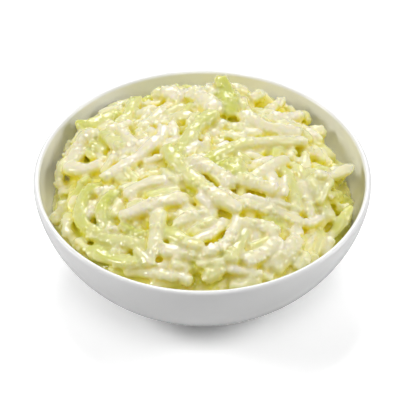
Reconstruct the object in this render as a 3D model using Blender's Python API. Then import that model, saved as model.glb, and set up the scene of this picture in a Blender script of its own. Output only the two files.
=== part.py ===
"""Coleslaw heaped in a small round bowl.

Two solids: the glazed bowl, turned from one profile, and the slaw, which fills the
bowl's inside and rises over its rim as an uneven heap of shreds.
Metres, +Z up. The origin is on the table, under the middle of the bowl.
"""

import math
import random

import bmesh
import bpy
from mathutils import Vector

# Bowl
RIM_RADIUS = 0.070
BOWL_HEIGHT = 0.049
LIP_THICKNESS = 0.0026
FOOT_RADIUS = 0.033
FOOT_HEIGHT = 0.0026
FOOT_WIDTH = 0.0045
FOOT_EASE = 0.0008
RECESS_DEPTH = 0.0020
BODY_POWER = 1.7
CAVITY_FLOOR_RADIUS = 0.020
CAVITY_FLOOR_HEIGHT = 0.0064
CAVITY_POWER = 1.9

# Slaw
WALL_GAP = 0.0003
CROWN_OVER_RIM = 0.0085
DOME_POWER = 3.0
EDGE_DEPTH = 0.0098
EDGE_DEPTH_TWO_SIDES = 0.0032
EDGE_DEPTH_ONE_SIDE = 0.0010
EDGE_FADE = 10
FLOOR_SHARE = 0.35
WALL_RISE_POWER = 1.5
SHRED_COUNT = 60
SHRED_WIDTH = 0.0085
SHRED_RELIEF = 0.0026
SHRED_LENGTHS = (0.020, 0.045)
SHRED_SEED = 4

# Facets
TURN_STEPS = 76
BODY_STEPS = 12
LIP_STEPS = 6
CAVITY_STEPS = 10
HEAP_STEPS = 34
MERGE_DISTANCE = 1e-6
SHARP_ANGLE = math.radians(40)

LIP_RADIUS = LIP_THICKNESS / 2
LIP_BASE = BOWL_HEIGHT - LIP_RADIUS
CAVITY_RIM_RADIUS = RIM_RADIUS - LIP_THICKNESS
WALL_CLEARANCE = 1.6 * WALL_GAP


def superellipse(share, power):
    """Rises from 0 to 1, steeply at first, as share goes from 0 to 1."""
    left = 1 - min(1.0, max(0.0, share))
    return (1 - left**power) ** (1 / power)


def eased(steps):
    """Shares from 0 to 1, closer together near 0, where a superellipse turns most."""
    return [1 - math.cos(0.5 * math.pi * i / steps) for i in range(steps + 1)]


def body_radius(z):
    """Outer radius of the bowl at height z."""
    share = (z - FOOT_HEIGHT) / (LIP_BASE - FOOT_HEIGHT)
    return FOOT_RADIUS + (RIM_RADIUS - FOOT_RADIUS) * superellipse(share, BODY_POWER)


def cavity_radius(z):
    """Inner radius of the bowl at height z."""
    share = (z - CAVITY_FLOOR_HEIGHT) / (LIP_BASE - CAVITY_FLOOR_HEIGHT)
    reach = CAVITY_RIM_RADIUS - CAVITY_FLOOR_RADIUS
    return CAVITY_FLOOR_RADIUS + reach * superellipse(share, CAVITY_POWER)


def between(low, high, share):
    return low + (high - low) * share


def bowl_profile():
    """(radius, height) points from the underside's middle, over foot, wall and lip, to the cavity's floor."""
    foot_inside = FOOT_RADIUS - FOOT_WIDTH
    points = [
        (0, RECESS_DEPTH),
        (foot_inside - FOOT_EASE, RECESS_DEPTH),
        (foot_inside, RECESS_DEPTH - FOOT_EASE),
        (foot_inside + FOOT_EASE, 0),
        (FOOT_RADIUS - FOOT_EASE, 0),
        (FOOT_RADIUS, FOOT_EASE),
    ]
    for share in eased(BODY_STEPS):
        z = between(FOOT_HEIGHT, LIP_BASE, share)
        points.append((body_radius(z), z))
    lip_centre = RIM_RADIUS - LIP_RADIUS
    for i in range(1, LIP_STEPS):
        angle = math.pi * i / LIP_STEPS
        rise = LIP_RADIUS * math.sin(angle)
        points.append((lip_centre + LIP_RADIUS * math.cos(angle), LIP_BASE + rise))
    for share in reversed(eased(CAVITY_STEPS)):
        z = between(CAVITY_FLOOR_HEIGHT, LIP_BASE, share)
        points.append((cavity_radius(z), z))
    points.append((0, CAVITY_FLOOR_HEIGHT))
    return points


def glaze_material():
    return plain_material("white_glaze", (0.87, 0.87, 0.86, 1), 0.18)


def slaw_material():
    return plain_material("dressed_cabbage", (0.86, 0.87, 0.60, 1), 0.35)


def plain_material(name, colour, roughness):
    material = bpy.data.materials.new(name)
    material.use_nodes = True
    surface = material.node_tree.nodes["Principled BSDF"]
    surface.inputs["Base Color"].default_value = colour
    surface.inputs["Roughness"].default_value = roughness
    surface.inputs["Metallic"].default_value = 0
    return material


def add_object(name, mesh_data, material):
    mesh = bpy.data.meshes.new(name)
    mesh_data.to_mesh(mesh)
    mesh_data.free()
    mesh.materials.append(material)
    mesh.shade_smooth()
    mesh.set_sharp_from_angle(angle=SHARP_ANGLE)
    made = bpy.data.objects.new(name, mesh)
    bpy.context.scene.collection.objects.link(made)
    return made


def turned(profile, steps):
    """A bmesh turned about Z from (radius, height) points that start and end on the axis."""
    made = bmesh.new()
    corners = [made.verts.new((radius, 0, height)) for radius, height in profile]
    edges = [made.edges.new(pair) for pair in zip(corners, corners[1:])]
    bmesh.ops.spin(
        made,
        geom=corners + edges,
        cent=(0, 0, 0),
        axis=(0, 0, 1),
        angle=2 * math.pi,
        steps=steps,
        use_merge=True,
    )
    bmesh.ops.remove_doubles(made, verts=made.verts, dist=MERGE_DISTANCE)
    bmesh.ops.recalc_face_normals(made, faces=made.faces)
    return made


def edge_height(turn):
    """Height at which the heap meets the bowl's wall. It lies deepest at the two sides."""
    depth = EDGE_DEPTH + EDGE_DEPTH_TWO_SIDES * math.cos(2 * turn) + EDGE_DEPTH_ONE_SIDE * math.cos(turn)
    return BOWL_HEIGHT - depth


def scatter_shreds():
    """Shreds seen from above: middle, unit direction and half length of each."""
    draw = random.Random(SHRED_SEED)
    shreds = []
    for _ in range(SHRED_COUNT):
        reach = RIM_RADIUS * math.sqrt(draw.random())
        turn = draw.uniform(0, 2 * math.pi)
        heading = draw.uniform(0, math.pi)
        middle = Vector((reach * math.cos(turn), reach * math.sin(turn)))
        direction = Vector((math.cos(heading), math.sin(heading)))
        shreds.append((middle, direction, draw.uniform(*SHRED_LENGTHS) / 2))
    return shreds


def shred_relief(place, shreds):
    """How far the nearest shred stands out at a place: rounded over the shred and 0 beside it."""
    best = 0.0
    for middle, direction, half_length in shreds:
        offset = place - middle
        along = offset.dot(direction)
        beyond = max(0.0, abs(along) - half_length)
        across = offset.dot(Vector((-direction.y, direction.x)))
        distance = math.hypot(beyond, across) / (SHRED_WIDTH / 2)
        best = max(best, math.exp(-distance * distance))
    return best * SHRED_RELIEF


def disc_place(u, v):
    """Where a point of a square grid goes on a disc, as (share of the radius, turn)."""
    x = u * math.sqrt(1 - v * v / 2)
    y = v * math.sqrt(1 - u * u / 2)
    return min(1.0, math.hypot(x, y)), math.atan2(y, x)


def heap_edge(turn):
    """Radius and height of the line where the heap's top meets the bowl's wall."""
    height = edge_height(turn)
    return cavity_radius(height - WALL_GAP) - WALL_CLEARANCE, height


def heap_top(share, turn, shreds):
    """A point of the dome, share of the way from its crown to its edge."""
    reach, edge = heap_edge(turn)
    crown = BOWL_HEIGHT + CROWN_OVER_RIM
    place = Vector((math.cos(turn), math.sin(turn))) * reach * share
    relief = shred_relief(place, shreds) * (1 - share**EDGE_FADE)
    return Vector((place.x, place.y, crown - (crown - edge) * share**DOME_POWER + relief))


def heap_underside(share, turn):
    """A point that follows the cavity, from the middle of its floor out and up its wall."""
    floor = CAVITY_FLOOR_HEIGHT + WALL_GAP
    _, edge = heap_edge(turn)
    rise = max(0.0, share - FLOOR_SHARE) / (1 - FLOOR_SHARE)
    height = between(floor, edge, rise**WALL_RISE_POWER)
    reach = cavity_radius(height - WALL_GAP) - WALL_CLEARANCE
    reach *= min(1.0, share / FLOOR_SHARE)
    return Vector((reach * math.cos(turn), reach * math.sin(turn), height))


def heap():
    """The slaw as one closed body: a dome and an underside that share the line round the wall."""
    shreds = scatter_shreds()
    made = bmesh.new()
    steps = range(HEAP_STEPS + 1)
    top, under = {}, {}
    for i in steps:
        for j in steps:
            share, turn = disc_place(2 * i / HEAP_STEPS - 1, 2 * j / HEAP_STEPS - 1)
            top[i, j] = made.verts.new(heap_top(share, turn, shreds))
            on_wall = i in (0, HEAP_STEPS) or j in (0, HEAP_STEPS)
            under[i, j] = top[i, j] if on_wall else made.verts.new(heap_underside(share, turn))
    for i in range(HEAP_STEPS):
        for j in range(HEAP_STEPS):
            around = ((i, j), (i + 1, j), (i + 1, j + 1), (i, j + 1))
            made.faces.new([top[corner] for corner in around])
            made.faces.new([under[corner] for corner in reversed(around)])
    bmesh.ops.recalc_face_normals(made, faces=made.faces)
    return made


def main():
    for old in list(bpy.data.objects):
        bpy.data.objects.remove(old)
    serving = bpy.data.objects.new("serving", None)
    bpy.context.scene.collection.objects.link(serving)
    bowl = add_object("bowl", turned(bowl_profile(), TURN_STEPS), glaze_material())
    slaw = add_object("coleslaw", heap(), slaw_material())
    for piece in (bowl, slaw):
        piece.parent = serving


main()
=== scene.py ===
# %% [markdown]
# # Coleslaw heaped in a white bowl
#
# Cabbage cut in coarse shreds, stirred with a thick pale dressing and heaped over the rim of
# a small glazed bowl. The lesson follows the slaw: the bowl is thrown, loose shreds are
# dropped into it one by one, and the best ones are laid last. Packed slaw then fills
# what lies below, and the dressing runs in between. Glaze, table, light and camera come at
# the end.

# %% Load the frame
import math
import random

import bmesh
import bpy
import numpy as np
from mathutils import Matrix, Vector


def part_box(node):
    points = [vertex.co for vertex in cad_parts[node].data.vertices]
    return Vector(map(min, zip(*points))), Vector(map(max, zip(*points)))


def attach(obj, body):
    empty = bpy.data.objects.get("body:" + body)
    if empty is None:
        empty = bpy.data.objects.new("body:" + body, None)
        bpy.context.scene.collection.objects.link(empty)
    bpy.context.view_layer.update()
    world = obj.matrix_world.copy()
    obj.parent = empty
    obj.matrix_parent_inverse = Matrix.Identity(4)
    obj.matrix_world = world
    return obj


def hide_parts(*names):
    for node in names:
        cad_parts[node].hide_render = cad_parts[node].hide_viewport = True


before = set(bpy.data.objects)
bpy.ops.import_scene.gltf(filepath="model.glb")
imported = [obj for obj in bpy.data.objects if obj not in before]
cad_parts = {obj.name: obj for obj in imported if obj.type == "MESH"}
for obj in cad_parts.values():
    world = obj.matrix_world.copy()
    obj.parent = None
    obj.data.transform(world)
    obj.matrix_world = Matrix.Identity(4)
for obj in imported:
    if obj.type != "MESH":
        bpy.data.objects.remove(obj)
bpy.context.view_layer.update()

MM = 0.001

# %% [markdown]
# ## Small helpers
#
# Every node tree below, for a shape or for a finish, is written with one helper that adds a
# node, sets it up and wires it. Colours are given as the sRGB hex values that a painter
# would pick and turned to the linear numbers that light is counted in.

# %% Node and colour helpers
def add_node(tree, kind, inputs=None, **settings):
    """Adds a node. inputs maps a socket's name or number to a value or to another node's socket."""
    node = tree.nodes.new(kind)
    for name, value in settings.items():
        setattr(node, name, value)
    for key, value in (inputs or {}).items():
        if isinstance(value, bpy.types.NodeSocket):
            tree.links.new(value, node.inputs[key])
        else:
            node.inputs[key].default_value = value
    return node


def colour(code):
    """Linear RGBA of an sRGB hex colour such as "f2edd0"."""
    shares = [int(code[i : i + 2], 16) / 255 for i in (0, 2, 4)]
    return [s / 12.92 if s <= 0.04045 else ((s + 0.055) / 1.055) ** 2.4 for s in shares] + [1.0]


def mesh_object(name, mesh):
    made = bpy.data.objects.new(name, mesh)
    bpy.context.scene.collection.objects.link(made)
    return made


def triangle_count(made):
    return sum(len(face.vertices) - 2 for face in made.data.polygons)


# %% [markdown]
# ## The bowl's outline
#
# The bowl is a solid of revolution, so its shape is one line: up the outside as a
# superellipse, which is steep near the foot and upright at the rim, round the lip as half a
# circle, and down the inside as a second superellipse. The rim and the height come from the
# frame and the rest follows from the potter's few sizes.

# %% Bowl sizes and curves
_, bowl_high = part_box("bowl")
RIM_RADIUS = bowl_high.x
BOWL_HEIGHT = bowl_high.z
LIP_THICKNESS = 2.6 * MM
FOOT_RADIUS = 33 * MM
FOOT_HEIGHT = 2.6 * MM
FOOT_WIDTH = 4.5 * MM
RECESS_DEPTH = 2.0 * MM
BODY_POWER = 1.7
CAVITY_FLOOR_RADIUS = 20 * MM
CAVITY_FLOOR_HEIGHT = 6.4 * MM
CAVITY_POWER = 1.9
LIP_BASE = BOWL_HEIGHT - LIP_THICKNESS / 2


def superellipse(share, power):
    """Rises from 0 to 1, steeply at first, as share goes from 0 to 1."""
    left = 1 - np.clip(share, 0, 1)
    return (1 - left**power) ** (1 / power)


def body_radius(z):
    """Outer radius of the bowl at a height."""
    share = (z - FOOT_HEIGHT) / (LIP_BASE - FOOT_HEIGHT)
    return FOOT_RADIUS + (RIM_RADIUS - FOOT_RADIUS) * superellipse(share, BODY_POWER)


def cavity_radius(z):
    """Inner radius of the bowl at a height."""
    share = (z - CAVITY_FLOOR_HEIGHT) / (LIP_BASE - CAVITY_FLOOR_HEIGHT)
    reach = RIM_RADIUS - LIP_THICKNESS - CAVITY_FLOOR_RADIUS
    return CAVITY_FLOOR_RADIUS + reach * superellipse(share, CAVITY_POWER)


print("rim radius, mm:", round(RIM_RADIUS / MM, 2), "height, mm:", round(BOWL_HEIGHT / MM, 2))

# %% [markdown]
# ## Throwing the bowl
#
# A thrown bowl is turned on a wheel, and Blender's Spin does the same to an outline. The
# points lie closer together where the line bends most. Each ring of the finished bowl is
# smooth enough that no facet shows along the rim, which is what the eye checks first.

# %% Make the bowl
BOWL_TURN_STEPS = 160
BODY_RINGS = 34
CAVITY_RINGS = 30
LIP_RINGS = 14
FOOT_ROUNDING = 0.9 * MM
CORNER_RINGS = 4
MERGE_DISTANCE = 0.001 * MM


def eased(steps):
    """Shares from 0 to 1 that lie closer together near 0."""
    return [1 - math.cos(0.5 * math.pi * i / steps) for i in range(steps + 1)]


def corner(radius, height, start_degrees, end_degrees):
    """Points round a small arc of the foot ring, about a centre in the outline's plane."""
    angles = np.radians(np.linspace(start_degrees, end_degrees, CORNER_RINGS + 1))
    return [(radius + FOOT_ROUNDING * math.cos(a), height + FOOT_ROUNDING * math.sin(a)) for a in angles]


def bowl_outline():
    """(radius, height) points from the underside's middle, round the lip, to the floor inside."""
    inner = FOOT_RADIUS - FOOT_WIDTH
    outline = [(0, RECESS_DEPTH), (inner - 2 * FOOT_ROUNDING, RECESS_DEPTH)]
    outline += corner(inner + FOOT_ROUNDING, FOOT_ROUNDING, 180, 270)
    outline += corner(FOOT_RADIUS - FOOT_ROUNDING, FOOT_ROUNDING, 270, 360)
    for share in eased(BODY_RINGS):
        z = FOOT_HEIGHT + (LIP_BASE - FOOT_HEIGHT) * share
        outline.append((float(body_radius(z)), z))
    lip_radius = LIP_THICKNESS / 2
    for i in range(1, LIP_RINGS):
        angle = math.pi * i / LIP_RINGS
        rise = lip_radius * math.sin(angle)
        outline.append((RIM_RADIUS - lip_radius + lip_radius * math.cos(angle), LIP_BASE + rise))
    for share in reversed(eased(CAVITY_RINGS)):
        z = CAVITY_FLOOR_HEIGHT + (LIP_BASE - CAVITY_FLOOR_HEIGHT) * share
        outline.append((float(cavity_radius(z)), z))
    return outline + [(0, CAVITY_FLOOR_HEIGHT)]


def turned_mesh(name, outline, steps):
    """A mesh turned about the bowl's axis from (radius, height) points."""
    shape = bmesh.new()
    points = [shape.verts.new((radius, 0, height)) for radius, height in outline]
    edges = [shape.edges.new(pair) for pair in zip(points, points[1:])]
    bmesh.ops.spin(
        shape, geom=points + edges, cent=(0, 0, 0), axis=(0, 0, 1),
        angle=2 * math.pi, steps=steps, use_merge=True,
    )
    bmesh.ops.remove_doubles(shape, verts=shape.verts, dist=MERGE_DISTANCE)
    bmesh.ops.recalc_face_normals(shape, faces=shape.faces)
    mesh = bpy.data.meshes.new(name)
    shape.to_mesh(mesh)
    shape.free()
    mesh.shade_smooth()
    return mesh


bowl = mesh_object("glazed_bowl", turned_mesh("glazed_bowl", bowl_outline(), BOWL_TURN_STEPS))
print("bowl:", triangle_count(bowl), "triangles")

# %% [markdown]
# ## The heap's shape
#
# Slaw heaped with a spoon makes a dome that is nearly flat on top and falls off quickly at
# the wall. It meets the wall below the rim, deepest at the two sides, where the inside of the
# bowl shows, and a little deeper at the back than in front. The dome here is the surface that
# the finished shreds should reach.

# %% Dome over the bowl
CROWN_OVER_RIM = 9.5 * MM
DOME_POWER = 3.1
EDGE_DEPTH = 10.2 * MM
EDGE_DEPTH_TWO_SIDES = 5.0 * MM
EDGE_DEPTH_BACK = 1.75 * MM


def edge_height(turn):
    """Height at which the dome meets the wall, at a turn about the bowl's axis."""
    sides = EDGE_DEPTH_TWO_SIDES * np.cos(2 * turn)
    return BOWL_HEIGHT - EDGE_DEPTH - sides - EDGE_DEPTH_BACK * np.sin(turn)


def wall_radius(turn):
    """Distance from the bowl's axis at which the dome meets the wall."""
    return cavity_radius(edge_height(turn))


def dome_height(x, y):
    """Height of the dome over a place."""
    turn = np.arctan2(y, x)
    edge = edge_height(turn)
    share = np.clip(np.hypot(x, y) / wall_radius(turn), 0, 1)
    crown = BOWL_HEIGHT + CROWN_OVER_RIM
    return crown - (crown - edge) * share**DOME_POWER


for side, turn in (("right", 0), ("back", math.pi / 2), ("front", -math.pi / 2)):
    depth = float(BOWL_HEIGHT - edge_height(turn))
    print("dome's edge below the rim at the", side, "in mm:", round(depth / MM, 1))

# %% [markdown]
# ## A pile that settles
#
# A real heap holds its shape because each shred rests on those below. A height map does the
# same with little work: a grid over the bowl holds the height of whatever is on top so far.
# A new shred reads the heights under its whole length and lies on the highest of them. A
# blur along its length stands for its stiffness, so that it bridges small gaps and bends over
# lumps. Then the map is raised where the shred lies, and the next one rests on it.

# %% Height map of the pile
CELL = 0.5 * MM
GRID_STEPS = int(2 * RIM_RADIUS / CELL) + 1
grid_line = np.linspace(-RIM_RADIUS, RIM_RADIUS, GRID_STEPS)
grid_x, grid_y = np.meshgrid(grid_line, grid_line)
CORE_DEPTH = 9.0 * MM
CORE_GREEN = 0.35
BLUR_TAIL = 3
pile = dome_height(grid_x, grid_y) - CORE_DEPTH
green_map = np.full(pile.shape, CORE_GREEN)


def cell_of(x, y):
    """Row and column of the cells that hold the points."""
    column = np.clip(np.rint((x + RIM_RADIUS) / CELL).astype(int), 0, GRID_STEPS - 1)
    row = np.clip(np.rint((y + RIM_RADIUS) / CELL).astype(int), 0, GRID_STEPS - 1)
    return row, column


def blurred(values, cells):
    """A list of numbers blurred over so many cells, with its ends carried on."""
    reach = int(BLUR_TAIL * cells) + 1
    offsets = np.arange(-reach, reach + 1)
    weights = np.exp(-0.5 * (offsets / cells) ** 2)
    padded = np.concatenate([np.full(reach, values[0]), values, np.full(reach, values[-1])])
    return np.convolve(padded, weights / weights.sum(), mode="valid")


print("height map:", pile.shape[0], "x", pile.shape[1], "cells of", CELL / MM, "mm")

# %% [markdown]
# ## The route of a shred
#
# A shred of cabbage is a strip with rounded edges, 3 to 8 mm wide and half to three quarters
# as thick once it is coated. Its route is seen from above: a few points joined by a smooth
# curve, a Catmull-Rom curve because that goes through its points. A route that comes too near
# the bowl is pushed back inside the wall.

# %% Route of a shred
CURVE_STEPS = 24
STEP = 0.6 * MM
FEWEST_STEPS = 5
TIP_PLACES = np.array([0.08, 0.28]) * MM
LEAN_HEIGHT = 2 * MM
THINNEST_SHARE = 0.03


def smooth_route(points):
    """Points on a smooth curve through a few points (x, y, lift)."""
    points = np.array(points, float)
    padded = np.vstack([2 * points[0] - points[1], points, 2 * points[-1] - points[-2]])
    pieces = []
    for a, b, c, d in zip(padded, padded[1:], padded[2:], padded[3:]):
        t = np.linspace(0, 1, CURVE_STEPS, endpoint=False)[:, None]
        bend = 2 * b + (c - a) * t + (2 * a - 5 * b + 4 * c - d) * t**2 + (3 * b - a - 3 * c + d) * t**3
        pieces.append(bend / 2)
    return np.vstack(pieces + [points[-1:]])


def even_route(line):
    """The same line with a point every STEP and a few more near its ends, for round tips."""
    lengths = np.hypot(*np.diff(line[:, :2], axis=0).T)
    travelled = np.concatenate([[0], np.cumsum(lengths)])
    total = travelled[-1]
    count = max(FEWEST_STEPS, int(total / STEP))
    inner = np.linspace(0, total, count + 1)
    places = np.sort(np.concatenate([inner, TIP_PLACES, total - TIP_PLACES]))
    return np.column_stack([np.interp(places, travelled, line[:, k]) for k in range(3)]), places


def keep_inside(route, half_width):
    """Draws a route in where it would touch the wall. A lifted tip may come closer to it."""
    turn = np.arctan2(route[:, 1], route[:, 0])
    reach = np.hypot(route[:, 0], route[:, 1])
    lift = route[:, 2]
    resting = pile[cell_of(route[:, 0], route[:, 1])] + half_width + lift
    needed = half_width / (1 + lift / LEAN_HEIGHT)
    limit = np.minimum(wall_radius(turn) + lift, cavity_radius(resting)) - needed
    squeeze = np.minimum(1, limit / np.maximum(reach, 1e-9))
    route[:, :2] *= squeeze[:, None]
    return route


def sideways(route):
    """Unit vectors square to the route, seen from above."""
    along = np.gradient(route[:, :2], axis=0)
    along /= np.maximum(np.hypot(*along.T), 1e-12)[:, None]
    return np.column_stack([-along[:, 1], along[:, 0]])


def tip_shape(places, point_length, blunt_length):
    """Width along the shred as a share: round at a cut end, long and thin at a torn one."""
    total = places[-1]
    start = np.clip(places / blunt_length, 0, 1)
    end = np.clip((total - places) / point_length, 0, 1)
    shape = np.sqrt(1 - (1 - start) ** 2) * np.sqrt(1 - (1 - end) ** 2)
    return np.maximum(shape, THINNEST_SHARE)


straight = even_route(smooth_route([(0, 0, 0), (50 * MM, 0, 0)]))
print("points along a straight shred of 50 mm:", len(straight[1]))

# %% [markdown]
# ## How a shred comes to rest
#
# A firm strip bridges small dips and a limp one follows them. So the heights under a shred
# are blurred over a length that stands for its stiffness. It may press into a lump by a
# little, and over any higher lump it bends.

# %% Rest of a shred
FIRM, LIMP = 8.0 * MM, 3.0 * MM
SINK = 1.6 * MM
ACROSS = np.array([-0.9, -0.5, 0, 0.5, 0.9])
BELOW_ALL = -1.0
LAST_BLUR = 2.5
TOP_LINES = 15


def settle(route, widths, thick_share, stiffness):
    """Heights of the shred's middle line when it rests on the pile."""
    aside = sideways(route)
    support = np.full(len(route), BELOW_ALL)
    for share in ACROSS:
        row, column = cell_of(*(route[:, :2] + aside * (widths * share)[:, None]).T)
        edge = widths * thick_share * math.sqrt(1 - share * share)
        support = np.maximum(support, pile[row, column] + edge)
    bridged = blurred(support, stiffness / STEP)
    resting = np.maximum(bridged, support - SINK)
    return blurred(resting, LAST_BLUR) + route[:, 2]


def raise_pile(route, heights, widths, thick_share, greens):
    """Raises the map where the shred lies and notes how green its top is there."""
    aside = sideways(route)
    for share in np.linspace(-1, 1, TOP_LINES):
        row, column = cell_of(*(route[:, :2] + aside * (widths * share)[:, None]).T)
        top = heights + widths * thick_share * math.sqrt(1 - share * share)
        higher = top > pile[row, column]
        green_map[row[higher], column[higher]] = greens[higher]
        np.maximum.at(pile, (row, column), top)


print("a firm shred bridges about", FIRM / MM, "mm and a limp one", LIMP / MM, "mm")

# %% [markdown]
# ## The kinds of shred
#
# White inner leaves give thick cream strips, outer leaves give thinner green ones, and much of
# a real slaw is short chopped bits. Each kind is one piece in the end, so its shreds are
# collected as lines first. A line carries its width, its greenness and its twist point by
# point, because a strip is often white at the rib and green at the leaf's edge.

# %% Lines waiting to become shreds
# thick is the thickness as a share of the width, and sides is how finely the outline is cut.
KINDS = {
    "cream_shreds": {"thick": 0.74, "sides": 14},
    "pale_green_shreds": {"thick": 0.68, "sides": 14},
    "green_leaf_strips": {"thick": 0.55, "sides": 14},
    "chopped_bits": {"thick": 0.76, "sides": 10},
}
BLUNT_SHARE = 0.7
SWELL_SHARE, SWELL_LENGTH = 0.09, 7 * MM
LARGEST_TWIST = 0.35
TIP_REST_SHARE = 0.4
PILE_SEED = 11
lines = {kind: [] for kind in KINDS}
draw = random.Random(PILE_SEED)


def lay_shred(kind, points, width, green, point_length=None, stiffness=LIMP):
    """Lets one shred settle on the pile and keeps its line. Sizes are in metres."""
    half_width = width / 2
    thick = KINDS[kind]["thick"]
    route, places = even_route(smooth_route(points))
    route = keep_inside(route, half_width)
    blunt = BLUNT_SHARE * half_width
    widths = half_width * tip_shape(places, point_length or blunt, blunt)
    # The number drawn between the two has no use. It keeps the later draws as they are.
    phase, _, twist = draw.uniform(0, 6.28), draw.random(), draw.uniform(-LARGEST_TWIST, LARGEST_TWIST)
    widths = widths * (1 + SWELL_SHARE * np.sin(places / SWELL_LENGTH * math.pi + phase))
    heights = settle(route, np.maximum(widths, TIP_REST_SHARE * half_width), thick, stiffness)
    greens = green[0] + (green[1] - green[0]) * places / places[-1]
    raise_pile(route, heights, widths, thick, greens)
    lines[kind].append({
        "points": np.column_stack([route[:, :2], heights]),
        "half_width": widths,
        "green": greens,
        "twist": np.full(len(places), twist),
    })


print("kinds of shred:", ", ".join(KINDS))

# %% [markdown]
# ## Dropping the loose shreds
#
# Most of the slaw just falls where there is room. For each new shred many places are tried,
# and it takes the one where the pile is furthest below a wanted surface along the shred's
# whole length and width. That fills the bowl evenly without a pattern. The directions and
# bends are random from a fixed seed, so the heap is the same each time.

# %% Fill the bowl with loose shreds
# BEND is the spread of bends, in radians per metre, and HEADING_SPREAD one of radians. Shares
# of the rim's radius: how far out a shred may start, and from where it follows the wall.
# WALL_BAND is a distance from the wall in millimetres.
TRIES = 40
ROUTE_POINTS = 7
BEND = 0.014 / MM
HEADING_SPREAD = 0.5
REACH_SHARE = 0.93
FOLLOWS_WALL_FROM = 0.72
WALL_BAND = 2, 8
ROOM_SHARE = 0.4
NO_ROOM = -1.0


def random_route(length, along_wall=False):
    """A gently bent route as (x, y, lift) points, somewhere in the bowl or along its wall."""
    reach = RIM_RADIUS * REACH_SHARE * math.sqrt(draw.random())
    turn = draw.uniform(0, 2 * math.pi)
    heading = draw.uniform(0, 2 * math.pi)
    if along_wall:
        reach = float(wall_radius(turn)) - draw.uniform(*WALL_BAND) * MM
    if reach > FOLLOWS_WALL_FROM * RIM_RADIUS:
        heading = turn + math.pi / 2 + draw.gauss(0, HEADING_SPREAD)
    bend = draw.gauss(0, BEND)
    places = np.linspace(-length / 2, length / 2, ROUTE_POINTS)
    angles = heading + bend * places
    steps = np.diff(places, prepend=places[0])
    x = reach * math.cos(turn) + np.cumsum(steps * np.cos(angles)) - length / 2 * math.cos(heading)
    y = reach * math.sin(turn) + np.cumsum(steps * np.sin(angles)) - length / 2 * math.sin(heading)
    return np.column_stack([x, y, np.zeros(ROUTE_POINTS)])


def room_under(surface, route, half_width):
    """How far the pile lies below a surface under a shred, at the shred's tightest spot."""
    aside = sideways(route) * half_width
    spots = np.vstack([route[:, :2], route[:, :2] + aside, route[:, :2] - aside])
    cells = cell_of(*spots.T)
    outside = (np.hypot(*spots.T) > RIM_RADIUS - LIP_THICKNESS).any()
    return NO_ROOM if outside else (surface[cells] - pile[cells]).min()


def drop(kind_of, count, lengths, widths, surface, least_room, along_wall=False):
    """Drops up to count shreds where there is room under a surface. Returns how many were laid."""
    laid = 0
    for _ in range(count):
        length, width = draw.uniform(*lengths), draw.uniform(*widths)
        routes = [keep_inside(random_route(length, along_wall), width / 2) for _ in range(TRIES)]
        rooms = [room_under(surface, route, ROOM_SHARE * width) for route in routes]
        best = int(np.argmax(rooms))
        if rooms[best] > least_room:
            kind, green = kind_of()
            lay_shred(kind, routes[best], width, green)
            laid += 1
    return laid


CREAM_UP_TO, PALE_UP_TO = 0.60, 0.90


def loose_kind():
    """A kind of shred and its greenness at both ends, by chance."""
    pick = draw.random()
    if pick < CREAM_UP_TO:
        return "cream_shreds", (draw.uniform(0, 0.4), draw.uniform(0, 0.6))
    if pick < PALE_UP_TO:
        return "pale_green_shreds", (draw.uniform(0.4, 0.8), draw.uniform(0.3, 0.9))
    return "green_leaf_strips", (draw.uniform(0.6, 0.9), draw.uniform(0.5, 1.0))


def bit_kind():
    """Chopped bits are mostly white and now and then green."""
    green = draw.random() ** 2
    return "chopped_bits", (green, green)


dome = dome_height(grid_x, grid_y)
LONG, SHORT, TINY = (26 * MM, 50 * MM), (9 * MM, 20 * MM), (6 * MM, 14 * MM)
under = drop(loose_kind, 150, LONG, (3.8 * MM, 5.8 * MM), dome, 4.4 * MM)
lining = drop(loose_kind, 220, SHORT, (3.2 * MM, 4.6 * MM), dome, 3.8 * MM, along_wall=True)
between = drop(loose_kind, 220, SHORT, (3.2 * MM, 4.6 * MM), dome, 3.8 * MM)
edge = drop(loose_kind, 200, SHORT, (3.0 * MM, 4.4 * MM), dome, 1.8 * MM, along_wall=True)
bits = drop(bit_kind, 320, TINY, (2.6 * MM, 4.0 * MM), dome, 3.2 * MM)
print("long:", under, "lining:", lining, "between:", between, "edge:", edge, "bits:", bits)
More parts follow.
